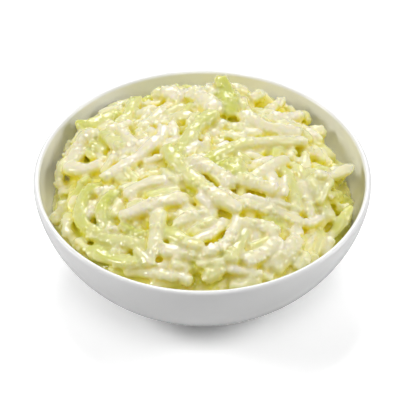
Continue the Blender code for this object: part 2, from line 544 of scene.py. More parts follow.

# %% [markdown]
# ## Laying the top
#
# The shreds that catch the eye are laid last, one at a time. Each is a few points in
# millimetres, seen from above with the front at -y, with an optional third number for how far
# a tip stands up. They are listed from the lowest to the highest.

# %% Shreds laid one by one
CREAM, PALE, LEAF = "cream_shreds", "pale_green_shreds", "green_leaf_strips"
TOP_SHREDS = [
    # kind, width, greenness at start and end, length of a torn tip, points
    (LEAF, 6, (1.0, 0.9), 0, [(3, 50), (6, 44), (10, 37)]),
    (LEAF, 7, (1.0, 1.0), 6, [(12, 30), (11, 42), (7, 52, 7)]),
    (LEAF, 6, (0.6, 0.5), 4, [(18, 43), (16, 48), (14, 53, 4)]),
    (LEAF, 5, (0.7, 1.0), 7, [(-44, 20), (-49, 27, 4), (-54, 35, 13)]),
    (CREAM, 7, (0.1, 0.1), 0, [(-18, 50, 1), (-10, 52, 1)]),
    (PALE, 5, (0.8, 0.6), 0, [(-29, 51, 2), (-32, 38), (-36, 30)]),
    (PALE, 6, (0.9, 0.7), 0, [(-36, 42), (-43, 36), (-50, 31)]),
    (CREAM, 4.5, (0.2, 0.1), 4, [(28, 41), (36, 48, 4)]),
    (CREAM, 5, (0.1, 0.2), 0, [(20, 46), (27, 49, 3)]),
    (CREAM, 5, (0.0, 0.1), 0, [(30, 35), (38, 38), (44, 41, 3)]),
    (PALE, 5, (0.4, 0.4), 0, [(43, 26), (50, 24), (56, 19)]),
    (CREAM, 6, (0.2, 0.1), 0, [(45, 34), (53, 32, 2)]),
    (PALE, 6, (0.8, 0.5), 0, [(-42, 24), (-38, 16), (-33, 8)]),
    (CREAM, 5, (0.2, 0.1), 0, [(-35, 24), (-28, 9)]),
    (CREAM, 7, (0.0, 0.1), 0, [(-59, 9), (-54, 14), (-50, 24), (-44, 23)]),
    (CREAM, 6, (0.0, 0.0), 0, [(-58, 8), (-49, 3), (-41, 4)]),
    (LEAF, 7, (1.0, 0.9), 0, [(2, -3), (8, -6), (17, -2)]),
    (LEAF, 6, (0.9, 0.8), 0, [(10, -9), (18, -8)]),
    (LEAF, 5, (1.0, 0.9), 0, [(-4, -56), (4, -57), (10, -52)]),
    (PALE, 5, (0.7, 0.4), 0, [(1, -63), (8, -58), (16, -53)]),
    (CREAM, 5, (0.1, 0.2), 0, [(-14, -57), (-9, -60), (-4, -63)]),
    (CREAM, 4, (0.3, 0.2), 0, [(-30, -55), (-18, -59), (-10, -62)]),
    (CREAM, 8, (0.1, 0.0), 0, [(-5, 49), (0, 40), (7, 30)]),
    (CREAM, 6, (0.1, 0.0), 0, [(16, 31), (24, 23), (33, 22), (42, 24)]),
    (PALE, 6.5, (0.9, 0.8), 0, [(6, 29), (-1, 21), (-6, 10), (-11, 1)]),
    (PALE, 5.5, (0.8, 0.5), 0, [(33, -3), (36, -12), (38, -27)]),
    (CREAM, 5, (0.1, 0.2), 0, [(38, 1), (41, -10), (43, -26)]),
    (CREAM, 5, (0.0, 0.1), 0, [(27, -7), (31, -23)]),
    (PALE, 7, (0.7, 0.4), 0, [(44, -1), (47, -14), (51, -26)]),
    (CREAM, 4.5, (0.1, 0.2), 5, [(46, -10, 1), (52, -6, 4), (58, 0, 8), (63, 6, 11)]),
    (PALE, 4, (0.8, 0.8), 8, [(51, -32, 1), (57, -25, 6), (61, -18, 12)]),
    (CREAM, 5.5, (0.1, 0.1), 0, [(19, -14), (27, -6), (35, 4)]),
    (LEAF, 5, (1.0, 0.8), 0, [(-34, -17), (-39, -20), (-40, -28), (-35, -34)]),
    (LEAF, 6, (0.9, 0.8), 0, [(-45, -42), (-36, -49), (-28, -53), (-18, -54)]),
    (CREAM, 7, (0.1, 0.2), 0, [(38, -39), (34, -47), (27, -56)]),
    (CREAM, 6, (0.1, 0.1), 0, [(31, -43), (24, -50), (16, -56)]),
    (PALE, 6, (0.6, 0.6), 0, [(17, -39), (13, -50), (10, -57)]),
    (PALE, 6, (0.3, 0.2), 0, [(15, -38), (23, -37), (30, -41)]),
    (CREAM, 6, (0.1, 0.3), 0, [(-16, -50), (-7, -52), (3, -53)]),
    (PALE, 6, (0.8, 0.5), 0, [(-16, -37), (-8, -46), (0, -51)]),
    (PALE, 5.5, (0.9, 0.6), 0,
     [(-42, -8), (-48, -14), (-49, -25), (-45, -33), (-37, -40), (-27, -44), (-20, -47)]),
    (PALE, 6, (0.3, 0.2), 12, [(-17, -30), (-18, -40), (-19, -54)]),
    (CREAM, 4.5, (0.1, 0.1), 0, [(-11, -38), (-4, -34), (6, -31)]),
    (CREAM, 4, (0.0, 0.1), 0, [(9, -34), (5, -41), (-3, -47)]),
    (CREAM, 4.5, (0.0, 0.0), 0, [(14, -34), (12, -43), (8, -49), (1, -54)]),
    (PALE, 5.5, (0.3, 0.2), 0, [(12, -28), (20, -27), (30, -29), (40, -32)]),
    (CREAM, 5, (0.0, 0.0), 0, [(-16, 21), (-18, 12), (-28, 1), (-41, -8)]),
    (PALE, 6, (0.5, 0.1), 0, [(13, -13), (22, -17), (30, -21)]),
    (CREAM, 5.5, (0.1, 0.1), 0, [(-31, -21), (-24, -16), (-16, -14), (-7, -17)]),
    (CREAM, 6, (0.0, 0.1), 0, [(-33, -32), (-25, -30), (-15, -26), (-4, -23)]),
    (PALE, 5.5, (0.1, 0.9), 0, [(44, 18), (31, 14), (18, 9.5), (9, 3.5), (0, -4)]),
    (PALE, 6.5, (1.0, 0.0), 0, [(-15, 6), (-11, -3), (-5, -13), (4, -23), (15, -32)]),
    (CREAM, 6.5, (0.1, 0.0), 0, [(-5, -4, 1), (4, -10, 1), (12, -18, 0)]),
]

for kind, width, green, torn, points in TOP_SHREDS:
    route = [[value * MM for value in (*point, 0)[:3]] for point in points]
    lay_shred(kind, route, width * MM, green, torn * MM or None, FIRM)
print("laid by hand:", len(TOP_SHREDS), "highest point, mm:", round(pile.max() / MM, 1))

# %% [markdown]
# ## Filling the gaps
#
# The height map now knows the whole top of the heap. Blurring its local maxima gives a soft
# blanket thrown over the shreds. Where the pile lies well below the blanket there is a gap,
# and smaller shreds are dropped into the gaps. At last, shreds that lie wholly far below the
# blanket are left out, because the solid core takes their place.

# %% Drop smaller shreds into the gaps
BLANKET_REACH = 6
BLANKET_BLUR = 5.0
HIDDEN_DEPTH = 5.5 * MM


def shifted_max(field, cells):
    """The highest value within so many cells, along both axes of the map."""
    for axis in (0, 1):
        best = field
        for offset in range(-cells, cells + 1):
            best = np.maximum(best, np.roll(field, offset, axis=axis))
        field = best
    return field


def blurred_map(field, cells):
    """A map blurred along its rows and then along its columns."""
    for _ in (0, 1):
        field = np.array([blurred(row, cells) for row in field]).T
    return field


def shows(line):
    """Whether any part of a shred comes near enough to the blanket to be seen."""
    row, column = cell_of(*line["points"].T[:2])
    return (blanket[row, column] - line["points"][:, 2]).min() < HIDDEN_DEPTH


blanket = blurred_map(shifted_max(pile, BLANKET_REACH), BLANKET_BLUR)
gap_shreds = drop(loose_kind, 200, SHORT, (3.0 * MM, 4.4 * MM), blanket, 2.2 * MM)
gap_bits = drop(bit_kind, 420, TINY, (2.4 * MM, 3.8 * MM), blanket, 1.7 * MM)
print("into the gaps:", gap_shreds, "shreds,", gap_bits, "bits")
for kind, laid in lines.items():
    lines[kind] = [line for line in laid if shows(line)]
    print(kind, "in sight:", len(lines[kind]), "of", len(laid))

# %% [markdown]
# ## Parts that every tree shares
#
# Each Geometry Nodes tree here takes a mesh and a few named sizes, and ends by realizing its
# instances, shading them smooth and setting a material. Noise along the normals stands in for
# what a knife and a spoon do to a leaf: nothing on slaw is quite even.

# %% Shared parts of the trees
def new_tree(name, sizes):
    """A Geometry Nodes tree with a mesh input and named inputs. Returns it and its input node."""
    tree = bpy.data.node_groups.new(name, "GeometryNodeTree")
    tree.interface.new_socket("Geometry", in_out="INPUT", socket_type="NodeSocketGeometry")
    tree.interface.new_socket("Geometry", in_out="OUTPUT", socket_type="NodeSocketGeometry")
    for size_name, (kind, value) in sizes.items():
        socket = tree.interface.new_socket(size_name, in_out="INPUT", socket_type=kind)
        if value is not None:
            socket.default_value = value
    return tree, add_node(tree, "NodeGroupInput")


def finish_tree(tree, geometry, material):
    """Ends a tree: its instances made real, shaded smooth and given their material."""
    whole = add_node(tree, "GeometryNodeRealizeInstances", {"Geometry": geometry})
    smooth = add_node(tree, "GeometryNodeSetShadeSmooth", {"Geometry": whole.outputs[0]})
    painted = add_node(tree, "GeometryNodeSetMaterial", {
        "Geometry": smooth.outputs[0], "Material": material,
    })
    add_node(tree, "NodeGroupOutput", {0: painted.outputs[0]})
    return tree


def skin_noise(tree, size, height, seed):
    """A distance up to height either way, from a noise with bumps of that size."""
    place = add_node(tree, "GeometryNodeInputPosition")
    scale = add_node(tree, "ShaderNodeMath", {0: 1.0, 1: size}, operation="DIVIDE")
    noise = add_node(
        tree, "ShaderNodeTexNoise",
        {"Vector": place.outputs[0], "W": seed, "Scale": scale.outputs[0], "Detail": 1.0},
        noise_dimensions="4D",
    )
    centred = add_node(tree, "ShaderNodeMath", {0: noise.outputs[0], 1: 0.5}, operation="SUBTRACT")
    double = add_node(tree, "ShaderNodeMath", {0: height, 1: 2.0}, operation="MULTIPLY")
    return add_node(tree, "ShaderNodeMath", {
        0: centred.outputs[0], 1: double.outputs[0],
    }, operation="MULTIPLY")


def along_normal(tree, geometry, distance):
    """Moves a geometry's points along their normals by a distance."""
    normal = add_node(tree, "GeometryNodeInputNormal")
    offset = add_node(tree, "ShaderNodeVectorMath", {
        0: normal.outputs[0], "Scale": distance,
    }, operation="SCALE")
    return add_node(tree, "GeometryNodeSetPosition", {"Geometry": geometry, "Offset": offset.outputs[0]})


def with_tree(made, tree, values):
    """Puts a tree on an object as a modifier, with its inputs set by the sockets' identifiers."""
    modifier = made.modifiers.new(tree.name, "NODES")
    modifier.node_group = tree
    named = {item.name: item.identifier for item in tree.interface.items_tree if item.in_out == "INPUT"}
    for name, value in values.items():
        modifier[named[name]] = value
    return made


def hardened(source, name):
    """The evaluated shape of an object as a plain mesh object of its own. The source is removed."""
    shape = source.evaluated_get(bpy.context.evaluated_depsgraph_get())
    mesh = bpy.data.meshes.new_from_object(shape)
    mesh.name = name
    bpy.data.objects.remove(source)
    return mesh_object(name, mesh)


# %% [markdown]
# ## From lines to shreds
#
# Sweeping a rounded strip along a line is what Curve to Mesh is for. The profile is a
# rectangle with rounded corners, kept level by the Z Up normals and turned a little by each
# shred's own twist. Two sizes of noise then push the skin in and out: broad swells for the
# leaf's ribs, small ones for the lumpy dressing.

# %% The sweeping tree
def sweep_tree():
    """Sweeps a rounded strip along every line of a mesh and makes its skin uneven."""
    tree, given = new_tree("sweep_shreds", {
        "Thickness share": ("NodeSocketFloat", 0.65),
        "Corner share": ("NodeSocketFloat", 0.95),
        "Sides": ("NodeSocketInt", 12),
        "Swell size": ("NodeSocketFloat", 7 * MM),
        "Swell height": ("NodeSocketFloat", 0.45 * MM),
        "Lump size": ("NodeSocketFloat", 1.7 * MM),
        "Lump height": ("NodeSocketFloat", 0.25 * MM),
        "Seed": ("NodeSocketFloat", 3.0),
        "Material": ("NodeSocketMaterial", None),
    })
    size = given.outputs
    twist, half_width = [
        add_node(tree, "GeometryNodeInputNamedAttribute", {"Name": name}, data_type="FLOAT")
        for name in ("twist", "half_width")
    ]
    curve = add_node(tree, "GeometryNodeMeshToCurve", {"Mesh": size["Geometry"]})
    level = add_node(tree, "GeometryNodeSetCurveNormal", {"Curve": curve.outputs[0]}, mode="Z_UP")
    turned = add_node(tree, "GeometryNodeSetCurveTilt", {
        "Curve": level.outputs[0], "Tilt": twist.outputs["Attribute"],
    })
    height = add_node(tree, "ShaderNodeMath", {0: size["Thickness share"], 1: 2.0}, operation="MULTIPLY")
    cut = add_node(tree, "GeometryNodeCurvePrimitiveQuadrilateral", {
        "Width": 2.0, "Height": height.outputs[0],
    })
    bend = add_node(tree, "ShaderNodeMath", {
        0: size["Thickness share"], 1: size["Corner share"],
    }, operation="MULTIPLY")
    rounded = add_node(tree, "GeometryNodeFilletCurve", {
        "Curve": cut.outputs[0], "Radius": bend.outputs[0], "Count": 4,
    }, mode="POLY")
    strip = add_node(tree, "GeometryNodeResampleCurve", {"Curve": rounded.outputs[0], "Count": size["Sides"]})
    swept = add_node(tree, "GeometryNodeCurveToMesh", {
        "Curve": turned.outputs[0], "Profile Curve": strip.outputs[0],
        "Scale": half_width.outputs["Attribute"], "Fill Caps": True,
    })
    swell = skin_noise(tree, size["Swell size"], size["Swell height"], size["Seed"])
    lumps = skin_noise(tree, size["Lump size"], size["Lump height"], size["Seed"])
    both = add_node(tree, "ShaderNodeMath", {0: swell.outputs[0], 1: lumps.outputs[0]}, operation="ADD")
    bumpy = along_normal(tree, swept.outputs[0], both.outputs[0])
    return finish_tree(tree, bumpy.outputs[0], size["Material"])


sweep = sweep_tree()
print("sweeping tree:", len(sweep.nodes), "nodes")

# %% [markdown]
# ## Finishes
#
# Cabbage in dressing is wet, soft and slightly see-through, so light goes in and comes out
# yellower. That is subsurface scattering under a thin clear coat. Here and there the dressing
# lies thicker and hides the leaf's colour, in patches that share their noise with the beads
# below, so it is whitest where it is lumpy. On top of that the colour carries painted shade:
# the pieces carry a depth value, worked out later from the height map, and the more
# closed-in a spot is, the more its colour turns from cream to a strong yellow, in place of
# the shade and yellowed bounce light in the gaps.

# %% Cabbage and dressing finish
CREAM_TONE, PALE_TONE, GREEN_TONE = "f4ecd4", "e8e5a7", "cdd24b"
# The half and gap tones are painted shade: the yellow that closed-in and sideways-facing spots take in place
# of real shade.
HALF_SHADE_TONE, GREEN_HALF_SHADE_TONE = "f9ed94", "d4d544"
GAP_SHADE_TONE, GREEN_GAP_SHADE_TONE = "fbed40", "d5d324"
FILM_TONE = "f5f0da"
PATCH_SIZE = 9 * MM
PATCH_EDGES = 0.38, 0.56
FILM_FADE = 0.04
GRAIN_SIZE = 1.0 * MM
WATER_IOR, DRESSING_IOR = 1.36, 1.4


def layered(tree, below, *layers):
    """Colours laid over one another: each layer is a share of cover and a colour."""
    for share, above in layers:
        # A Mix node's colours are its inputs 6 and 7, and its mixed colour is output 2.
        below = add_node(
            tree, "ShaderNodeMix", {"Factor": share, 6: below, 7: above}, data_type="RGBA", clamp_factor=True
        ).outputs[2]
    return below


def cabbage_finish(name, film_share, roughness):
    """Cabbage under a coat of dressing: satin wet skin, cream to green, with painted shade that turns it
    yellower in the gaps.
    """
    material = bpy.data.materials.new(name)
    material.use_nodes = True
    tree = material.node_tree
    skin = tree.nodes["Principled BSDF"]
    green = add_node(tree, "ShaderNodeAttribute", attribute_name="green").outputs["Fac"]
    # depth holds the painted shade, worked out later from the height map.
    depth = add_node(tree, "ShaderNodeAttribute", attribute_name="depth").outputs["Fac"]
    place = add_node(tree, "ShaderNodeTexCoord").outputs["Object"]
    patches = add_node(tree, "ShaderNodeTexNoise", {"Vector": place, "Scale": 1 / PATCH_SIZE, "Detail": 2.0})
    film = add_node(tree, "ShaderNodeMapRange", {
        "Value": patches.outputs[0], "From Min": PATCH_EDGES[0], "From Max": PATCH_EDGES[1] + FILM_FADE,
        "To Min": 0.0, "To Max": film_share,
    }, interpolation_type="SMOOTHSTEP").outputs[0]
    # Each value is cut in two ramps, because its colour goes by way of a middle one.
    pale_share, leaf_share, half_shade_share, gap_shade_share = [
        add_node(tree, "ShaderNodeMapRange", {"Value": value, "From Min": low, "From Max": high}).outputs[0]
        for value in (green, depth) for low, high in ((0.0, 0.5), (0.5, 1.0))
    ]
    coated = layered(
        tree, colour(CREAM_TONE),
        (pale_share, colour(PALE_TONE)), (leaf_share, colour(GREEN_TONE)), (film, colour(FILM_TONE)),
    )
    # Painted shade: the depth value below turns the coated colour to these half-shade and gap-shade yellows.
    half = layered(tree, colour(HALF_SHADE_TONE), (green, colour(GREEN_HALF_SHADE_TONE)))
    gap = layered(tree, colour(GAP_SHADE_TONE), (green, colour(GREEN_GAP_SHADE_TONE)))
    painted_shade_colour = layered(tree, coated, (half_shade_share, half), (gap_shade_share, gap))
    tree.links.new(painted_shade_colour, skin.inputs["Base Color"])
    skin.inputs["Roughness"].default_value = roughness
    skin.inputs["IOR"].default_value = WATER_IOR
    skin.inputs["Subsurface Weight"].default_value = 0.9
    skin.inputs["Subsurface Radius"].default_value = (1.0, 0.85, 0.35)
    skin.inputs["Subsurface Scale"].default_value = 3.8 * MM
    skin.inputs["Coat Weight"].default_value = 0.9
    skin.inputs["Coat Roughness"].default_value = 0.10
    skin.inputs["Coat IOR"].default_value = DRESSING_IOR
    grain = add_node(tree, "ShaderNodeTexNoise", {"Vector": place, "Scale": 1 / GRAIN_SIZE, "Detail": 3.0})
    bump = add_node(tree, "ShaderNodeBump", {
        "Height": grain.outputs[0], "Strength": 0.24, "Distance": 0.25 * MM,
    })
    tree.links.new(bump.outputs[0], skin.inputs["Normal"])
    return material


# Thick white leaves hold the most film, green ones less, and dressing alone the least.
white_cabbage = cabbage_finish("dressed_white_cabbage", 0.8, 0.34)
green_cabbage = cabbage_finish("dressed_green_cabbage", 0.6, 0.32)
dressing_finish = cabbage_finish("creamy_dressing", 0.16, 0.26)
print("cabbage finishes:", white_cabbage.name, green_cabbage.name, dressing_finish.name)

# %% [markdown]
# ## Sweeping the shreds
#
# All lines of a kind go into one mesh of edges, with their values on its points, so the tree
# runs once for each kind and each kind comes out as one plain mesh.

# %% Sweep each kind into one piece
FINISHES = {
    "cream_shreds": white_cabbage,
    "pale_green_shreds": green_cabbage,
    "green_leaf_strips": green_cabbage,
    "chopped_bits": white_cabbage,
}


def line_object(kind):
    """All lines of a kind as one mesh of edges, with their values stored on its points."""
    laid = lines[kind]
    points = np.vstack([line["points"] for line in laid])
    edges, start = [], 0
    for line in laid:
        count = len(line["points"])
        edges += [(start + i, start + i + 1) for i in range(count - 1)]
        start += count
    mesh = bpy.data.meshes.new(kind + "_lines")
    mesh.from_pydata(points.tolist(), edges, [])
    for name in ("half_width", "green", "twist"):
        values = np.concatenate([line[name] for line in laid]).astype(np.float32)
        mesh.attributes.new(name, "FLOAT", "POINT").data.foreach_set("value", values)
    return mesh_object(kind + "_lines", mesh)


shreds = {}
for seed, (kind, look) in enumerate(KINDS.items()):
    swept = with_tree(line_object(kind), sweep, {
        "Thickness share": look["thick"], "Sides": look["sides"],
        "Seed": float(seed), "Material": FINISHES[kind],
    })
    shreds[kind] = hardened(swept, kind)
    print(kind, len(lines[kind]), "shreds,", triangle_count(shreds[kind]), "triangles")

# %% [markdown]
# ## The solid core
#
# Under the loose top the slaw is made solid, so it is one body that follows the inside of
# the bowl. Its top is the bed that shows at the bottom of the gaps: the blanket again, a few
# millimetres lower.

# %% Make the core
CORE_STEPS = 90
BED_DEPTH = 6.0 * MM
CORE_WALL_GAP = 0.5 * MM
EDGE_DROP = 1.5 * MM
EDGE_SLOPE = 1.2
CORE_FLOOR_SHARE = 0.35
CORE_RISE_POWER = 1.5


def disc_place(u, v):
    """Where a point of a square grid goes on a disc, as (share of the radius, turn)."""
    x, y = u * math.sqrt(1 - v * v / 2), v * math.sqrt(1 - u * u / 2)
    return min(1.0, math.hypot(x, y)), math.atan2(y, x)


def core_top(share, turn):
    """A point of the core's top, share of the way from the middle to the wall."""
    edge = float(edge_height(turn)) - EDGE_DROP
    reach = float(cavity_radius(edge)) - CORE_WALL_GAP
    x, y = share * reach * math.cos(turn), share * reach * math.sin(turn)
    row, column = cell_of(np.array([x]), np.array([y]))
    bed = float(blanket[row, column][0]) - BED_DEPTH
    return x, y, max(edge, min(bed, edge + (1 - share) * reach * EDGE_SLOPE))


def core_underside(share, turn):
    """A point that follows the bowl's inside, from the middle of its floor up to the wall."""
    floor = CAVITY_FLOOR_HEIGHT + CORE_WALL_GAP
    edge = float(edge_height(turn)) - EDGE_DROP
    rise = max(0.0, share - CORE_FLOOR_SHARE) / (1 - CORE_FLOOR_SHARE)
    level = floor + (edge - floor) * rise**CORE_RISE_POWER
    reach = (float(cavity_radius(level)) - CORE_WALL_GAP) * min(1.0, share / CORE_FLOOR_SHARE)
    return reach * math.cos(turn), reach * math.sin(turn), level


def core_mesh():
    """A top and an underside over the same square grid, joined along the wall."""
    shape = bmesh.new()
    top, under = {}, {}
    steps = range(CORE_STEPS + 1)
    for i in steps:
        for j in steps:
            share, turn = disc_place(2 * i / CORE_STEPS - 1, 2 * j / CORE_STEPS - 1)
            top[i, j] = shape.verts.new(core_top(share, turn))
            on_wall = i in (0, CORE_STEPS) or j in (0, CORE_STEPS)
            under[i, j] = top[i, j] if on_wall else shape.verts.new(core_underside(share, turn))
    for i in range(CORE_STEPS):
        for j in range(CORE_STEPS):
            around = ((i, j), (i + 1, j), (i + 1, j + 1), (i, j + 1))
            shape.faces.new([top[place] for place in around])
            shape.faces.new([under[place] for place in reversed(around)])
    bmesh.ops.recalc_face_normals(shape, faces=shape.faces)
    mesh = bpy.data.meshes.new("slaw_core")
    shape.to_mesh(mesh)
    shape.free()
    mesh.shade_smooth()
    return mesh


core = mesh_object("slaw_core", core_mesh())
core.data.materials.append(dressing_finish)
print("core:", triangle_count(core), "triangles")

# %% [markdown]
# ## Dressing between the shreds
#
# Thick dressing coats every shred and pools where shreds meet. A way to model that is what
# image people call a closing: all shreds are melted into one skin, the skin is blown up until
# narrow gaps fill, and then it is drawn back. Wide places return nearly to where they were,
# and narrow ones stay filled with a round fillet. It is drawn back by about half as much as
# it was blown up, so a coat about 0.4 mm thick stays on every shred.

# %% Close the gaps
MELT_VOXEL = 0.42 * MM
FILLET = 0.8 * MM
BEAD_RISE = 0.05, 0.6


def joined_copy(sources, name):
    """One object with the meshes of several, which stay as they are."""
    shape = bmesh.new()
    for source in sources:
        shape.from_mesh(source.data)
    mesh = bpy.data.meshes.new(name)
    shape.to_mesh(mesh)
    shape.free()
    return mesh_object(name, mesh)


def bead_field(tree, size):
    """Height of round beads that stand close together in patches, with bare places between."""
    place = add_node(tree, "GeometryNodeInputPosition").outputs[0]
    fine = add_node(tree, "ShaderNodeMath", {0: 1.0, 1: size["Bead size"]}, operation="DIVIDE")
    cells = add_node(tree, "ShaderNodeTexVoronoi", {"Vector": place, "Scale": fine.outputs[0]})
    bead = add_node(tree, "ShaderNodeMapRange", {
        "Value": cells.outputs["Distance"], "From Min": BEAD_RISE[0], "From Max": BEAD_RISE[1],
        "To Min": 1.0, "To Max": 0.0,
    }, interpolation_type="SMOOTHSTEP")
    coarse = add_node(tree, "ShaderNodeMath", {0: 1.0, 1: size["Patch size"]}, operation="DIVIDE")
    patches = add_node(tree, "ShaderNodeTexNoise", {
        "Vector": place, "Scale": coarse.outputs[0], "Detail": 2.0,
    })
    patch = add_node(tree, "ShaderNodeMapRange", {
        "Value": patches.outputs[0], "From Min": PATCH_EDGES[0], "From Max": PATCH_EDGES[1],
    })
    tall = add_node(tree, "ShaderNodeMath", {0: bead.outputs[0], 1: patch.outputs[0]}, operation="MULTIPLY")
    return add_node(tree, "ShaderNodeMath", {
        0: tall.outputs[0], 1: size["Bead height"],
    }, operation="MULTIPLY").outputs[0]


def skin_tree():
    """Moves a skin along its normals by a distance, with a noise and beads on top."""
    tree, given = new_tree("move_skin", {
        "Distance": ("NodeSocketFloat", 1 * MM),
        "Noise size": ("NodeSocketFloat", 5 * MM),
        "Noise height": ("NodeSocketFloat", 0.0),
        "Seed": ("NodeSocketFloat", 1.0),
        "Material": ("NodeSocketMaterial", None),
        "Bead size": ("NodeSocketFloat", 1.9 * MM),
        "Bead height": ("NodeSocketFloat", 0.0),
        "Patch size": ("NodeSocketFloat", PATCH_SIZE),
    })
    size = given.outputs
    noise = skin_noise(tree, size["Noise size"], size["Noise height"], size["Seed"])
    beads = bead_field(tree, size)
    rough = add_node(tree, "ShaderNodeMath", {0: noise.outputs[0], 1: beads}, operation="ADD")
    total = add_node(tree, "ShaderNodeMath", {0: rough.outputs[0], 1: size["Distance"]}, operation="ADD")
    moved = along_normal(tree, size["Geometry"], total.outputs[0])
    return finish_tree(tree, moved.outputs[0], size["Material"])


def melt(made, voxel):
    """Adds a voxel remesh, which joins all that overlaps into one closed skin."""
    modifier = made.modifiers.new("melt", "REMESH")
    modifier.mode = "VOXEL"
    modifier.voxel_size = voxel
    modifier.use_smooth_shade = True


move_skin = skin_tree()
skin = joined_copy([*shreds.values(), core], "skin")
melt(skin, MELT_VOXEL)
with_tree(skin, move_skin, {"Distance": FILLET})
melt(skin, MELT_VOXEL)
skin = hardened(skin, "closed_skin")
print("closed skin:", triangle_count(skin), "triangles")

# %% [markdown]
# ## Curds of dressing
#
# The curds are counted in thousands, so each is an icosphere of a few dozen faces, scattered
# on the shreds by Distribute Points on Faces. A noise gathers them in patches, as a stirred
# dressing leaves them. Only those above the lowest place that shows are made.

# %% Scatter the curds
CURD_PATCH_EDGES = 0.42, 0.62


def curd_tree():
    """Scatters round curds over the upper part of a mesh, in patches."""
    tree, given = new_tree("scatter_curds", {
        "Curds per square metre": ("NodeSocketFloat", 130000.0),
        "Smallest": ("NodeSocketFloat", 0.7 * MM),
        "Largest": ("NodeSocketFloat", 1.2 * MM),
        "Patch size": ("NodeSocketFloat", 12 * MM),
        "Lowest place": ("NodeSocketFloat", 34 * MM),
        "Raised share": ("NodeSocketFloat", 0.15),
        "Seed": ("NodeSocketInt", 5),
        "Material": ("NodeSocketMaterial", None),
    })
    size = given.outputs
    place = add_node(tree, "GeometryNodeInputPosition").outputs[0]
    scale = add_node(tree, "ShaderNodeMath", {0: 1.0, 1: size["Patch size"]}, operation="DIVIDE")
    patches = add_node(tree, "ShaderNodeTexNoise", {
        "Vector": place, "Scale": scale.outputs[0], "Detail": 2.0,
    })
    share = add_node(tree, "ShaderNodeMapRange", {
        "Value": patches.outputs[0], "From Min": CURD_PATCH_EDGES[0], "From Max": CURD_PATCH_EDGES[1],
    })
    height = add_node(tree, "ShaderNodeSeparateXYZ", {0: place}).outputs[2]
    high = add_node(tree, "ShaderNodeMath", {0: height, 1: size["Lowest place"]}, operation="GREATER_THAN")
    density = add_node(tree, "ShaderNodeMath", {
        0: share.outputs[0], 1: size["Curds per square metre"],
    }, operation="MULTIPLY")
    shown = add_node(tree, "ShaderNodeMath", {
        0: density.outputs[0], 1: high.outputs[0],
    }, operation="MULTIPLY")
    points = add_node(tree, "GeometryNodeDistributePointsOnFaces", {
        "Mesh": size["Geometry"], "Density": shown.outputs[0], "Seed": size["Seed"],
    })
    bead = add_node(tree, "GeometryNodeMeshIcoSphere", {"Radius": 1.0, "Subdivisions": 2})
    # A Random Value node's float limits are its inputs 2 and 3, and its float is output 1.
    radius = add_node(tree, "FunctionNodeRandomValue", {
        2: size["Smallest"], 3: size["Largest"], "Seed": size["Seed"],
    }, data_type="FLOAT").outputs[1]
    rise = add_node(tree, "ShaderNodeMath", {0: radius, 1: size["Raised share"]}, operation="MULTIPLY")
    outward = add_node(tree, "ShaderNodeVectorMath", {
        0: points.outputs["Normal"], "Scale": rise.outputs[0],
    }, operation="SCALE")
    raised = add_node(tree, "GeometryNodeSetPosition", {
        "Geometry": points.outputs["Points"], "Offset": outward.outputs[0],
    })
    beads = add_node(tree, "GeometryNodeInstanceOnPoints", {
        "Points": raised.outputs[0], "Instance": bead.outputs["Mesh"], "Scale": radius,
    })
    return finish_tree(tree, beads.outputs[0], size["Material"])


source = joined_copy([*shreds.values()], "curd_source")
curds = hardened(with_tree(source, curd_tree(), {"Material": dressing_finish}), "curds")
print("curds:", triangle_count(curds), "triangles")

# %% [markdown]
# ## One coat of dressing
#
# The skin is drawn back with a fine noise and round beads on it, and the curds are melted into
# it. Then it is thinned to the triangles that one piece may have.

# %% Melt the curds into the dressing
DRAW_BACK = 0.42 * MM
BEAD_HEIGHT = 0.5 * MM
DRESSING_VOXEL = 0.4 * MM
DRESSING_TRIANGLES = 195000
with_tree(skin, move_skin, {
    "Distance": -DRAW_BACK, "Noise size": 4 * MM, "Noise height": 0.12 * MM,
    "Bead height": BEAD_HEIGHT, "Seed": 7.0,
})
skin = hardened(skin, "drawn_skin")
dressing = joined_copy([skin, curds], "dressing_raw")
bpy.data.objects.remove(skin)
bpy.data.objects.remove(curds)
melt(dressing, DRESSING_VOXEL)
soften = dressing.modifiers.new("soften", "SMOOTH")
soften.factor = 0.5
soften.iterations = 1
dressing = hardened(dressing, "dressing_fine")
thin = dressing.modifiers.new("thin", "DECIMATE")
thin.ratio = min(1.0, DRESSING_TRIANGLES / triangle_count(dressing))
print("dressing before thinning:", triangle_count(dressing), "triangles")
dressing = hardened(dressing, "dressing")
dressing.data.shade_smooth()
dressing.data.materials.clear()
dressing.data.materials.append(dressing_finish)
print("dressing:", triangle_count(dressing), "triangles")

# %% [markdown]
# ## How closed-in each spot is
#
# The yellow of the gaps is painted shade. Light that reaches the bottom of a gap has bounced
# from shred to shred and has turned yellow on the way, and the colour stands in for that. So
# every point stores how much of the sky the heap hides from it: the height map is looked over
# in a dozen directions for the steepest rise. A tip that stands up scores 0 and the bottom of a
# hole nearly 1. A face that looks sideways counts as more closed-in, a painted shade for sides
# that face away from the light, and near the white wall the value is lowered, a painted light
# for what the wall sends back.

# %% Store how closed-in and how green each point is
LOOK_TURNS = np.arange(12) * math.tau / 12
LOOK_DISTANCES = np.array([0.9, 1.4, 2.1, 3.1, 4.5, 6.5, 9.5]) * MM
# Where closed-in starts and ends its painted shade, the painted shade of a face that looks sideways, and the
# painted light near the wall with its reach.
OPEN, CLOSED = 0.15, 0.75
SIDE_SHADE_SHARE = 0.45
WALL_GLOW, WALL_GLOW_REACH = 0.6, 7 * MM
TOP_BAND = 0.7 * MM
GREEN_BLUR = 1.5
soft_green = blurred_map(green_map, GREEN_BLUR)


